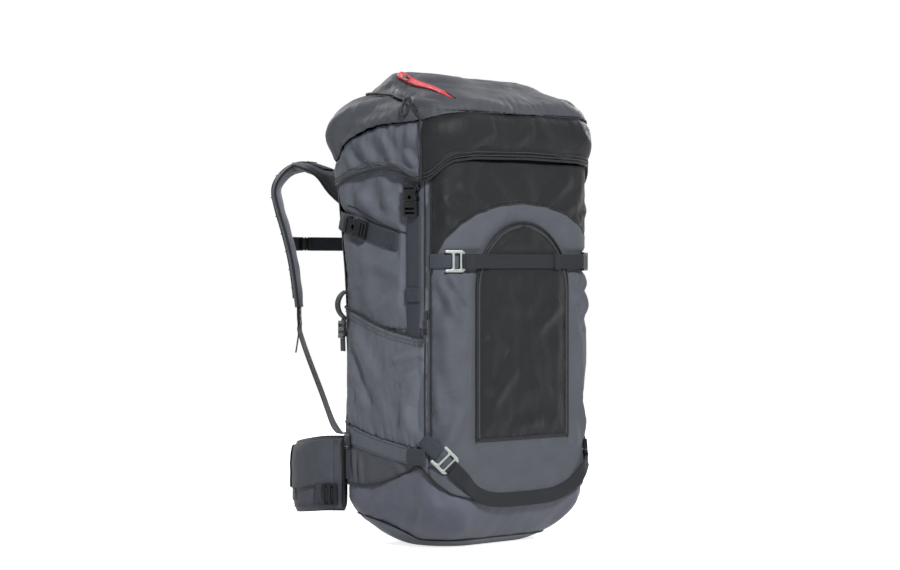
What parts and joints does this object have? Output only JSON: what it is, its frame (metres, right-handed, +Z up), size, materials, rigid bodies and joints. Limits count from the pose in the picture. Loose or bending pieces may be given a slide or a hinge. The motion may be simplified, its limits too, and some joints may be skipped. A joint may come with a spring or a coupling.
{
  "type": "ski touring backpack",
  "caption": "Grey touring backpack with a zipped hooded lid, padded harness and hip belt, side pockets, buckled straps and front straps with metal hooks for carrying a board.",
  "frame": {"origin": "on the flat foot of the base, under the upright axis of the pack body", "axes": "+Z up, -Y out of the front panel, +Y out of the back panel towards the wearer, -X the wearer's left"},
  "size_m": [0.332, 0.432, 0.652],
  "materials": {
    "main_fabric": "matte",
    "dark_fabric": "matte",
    "top_fabric": "satin",
    "stretch_fabric": "matte",
    "band_fabric": "matte",
    "base_fabric": "matte",
    "pad_mesh": "matte",
    "webbing": "matte",
    "black_webbing": "matte",
    "black_plastic": "satin",
    "zip_coil": "matte",
    "red_zip": "satin",
    "hook_metal": "satin",
    "frame_plastic": "matte",
    "stay_metal": "satin"
  },
  "bodies": {
    "pack": {"base_panel": "base_fabric", "left_side_panel": "main_fabric", "right_side_panel": "main_fabric", "front_panel": "dark_fabric", "back_panel": "dark_fabric", "collar": "dark_fabric", "frame_sheet": "frame_plastic", "frame_stays": "stay_metal", "back_pads": "pad_mesh", "lumbar_pad": "pad_mesh", "left_shoulder_strap": "main_fabric", "right_shoulder_strap": "main_fabric", "left_shoulder_webbing": "webbing", "right_shoulder_webbing": "webbing", "shoulder_locks": "black_plastic", "haul_loop": "webbing", "front_pocket": "dark_fabric", "left_side_zip": "zip_coil", "right_side_zip": "zip_coil", "left_side_pocket": "stretch_fabric", "right_side_pocket": "stretch_fabric", "lower_bands": "band_fabric", "left_compression_webbing": "webbing", "right_compression_webbing": "webbing", "compression_sockets": "black_plastic", "left_lid_webbing": "webbing", "right_lid_webbing": "webbing", "ski_loops": "black_webbing", "board_tabs": "webbing", "board_strap_locks": "black_plastic", "board_strap_loops": "webbing", "upper_board_webbing": "black_webbing", "lower_board_webbing": "black_webbing", "sternum_socket": "black_plastic", "sternum_webbing": "webbing"},
    "lid": {"lid_skirt": "dark_fabric", "lid_hood": "main_fabric", "lid_top_panel": "top_fabric", "lid_lining": "top_fabric", "lid_zip": "red_zip", "lid_gear_rings": "black_plastic", "lid_tabs": "webbing", "lid_sockets": "black_plastic"},
    "left_lid_plug": {"left_lid_plug": "black_plastic"},
    "right_lid_plug": {"right_lid_plug": "black_plastic"},
    "left_compression_plug": {"left_compression_plug": "black_plastic"},
    "right_compression_plug": {"right_compression_plug": "black_plastic"},
    "sternum_plug": {"sternum_plug": "black_plastic"},
    "left_zip_slider": {"left_side_zip_slider": "zip_coil"},
    "right_zip_slider": {"right_side_zip_slider": "zip_coil"},
    "lid_zip_slider": {"lid_zip_slider": "zip_coil"},
    "upper_hook": {"upper_board_hook": "hook_metal"},
    "lower_hook": {"lower_board_hook": "hook_metal"},
    "left_hip": {"left_hip_fin": "dark_fabric", "left_hip_webbing": "webbing", "hip_socket": "black_plastic"},
    "right_hip": {"right_hip_fin": "dark_fabric", "right_hip_webbing": "webbing", "hip_plug": "black_plastic"}
  },
  "joints": [
    {"name": "lid_hinge", "type": "hinge", "parent": "pack", "child": "lid", "pos_m": [0, 0.129, 0.505], "axis": [-1, 0, 0], "range_deg": [0, 60]},
    {"name": "left_lid_plug_slide", "type": "slide", "parent": "pack", "child": "left_lid_plug", "axis": [0, 0, -1], "range_m": [0, 0.03]},
    {"name": "right_lid_plug_slide", "type": "slide", "parent": "pack", "child": "right_lid_plug", "axis": [0, 0, -1], "range_m": [0, 0.03]},
    {"name": "left_compression_plug_slide", "type": "slide", "parent": "pack", "child": "left_compression_plug", "axis": [0, -0.9677, -0.2521], "range_m": [0, 0.03]},
    {"name": "right_compression_plug_slide", "type": "slide", "parent": "pack", "child": "right_compression_plug", "axis": [0, -0.9677, -0.2521], "range_m": [0, 0.03]},
    {"name": "sternum_plug_slide", "type": "slide", "parent": "pack", "child": "sternum_plug", "axis": [1, 0, 0], "range_m": [0, 0.03]},
    {"name": "left_zip_slide", "type": "slide", "parent": "pack", "child": "left_zip_slider", "axis": [0, 0, 1], "range_m": [-0.14, 0.16]},
    {"name": "right_zip_slide", "type": "slide", "parent": "pack", "child": "right_zip_slider", "axis": [0, 0, 1], "range_m": [-0.14, 0.16]},
    {"name": "lid_zip_slide", "type": "slide", "parent": "lid", "child": "lid_zip_slider", "axis": [-0.1699, -0.9707, -0.1699], "range_m": [-0.028, 0.035]},
    {"name": "upper_hook_swing", "type": "hinge", "parent": "pack", "child": "upper_hook", "pos_m": [-0.11714, -0.11582, 0.39], "axis": [0, 0, 1], "range_deg": [0, 70]},
    {"name": "lower_hook_swing", "type": "hinge", "parent": "pack", "child": "lower_hook", "pos_m": [-0.13269, -0.1081, 0.11537], "axis": [0.5086, -0.4912, 0.7071], "range_deg": [0, 70]},
    {"name": "left_hip_swing", "type": "hinge", "parent": "pack", "child": "left_hip", "pos_m": [-0.13846, 0.09705, 0.096], "axis": [0, 0, 1], "range_deg": [0, 60]},
    {"name": "right_hip_swing", "type": "hinge", "parent": "pack", "child": "right_hip", "pos_m": [0.13846, 0.09705, 0.096], "axis": [0, 0, -1], "range_deg": [0, 60]}
  ]
}
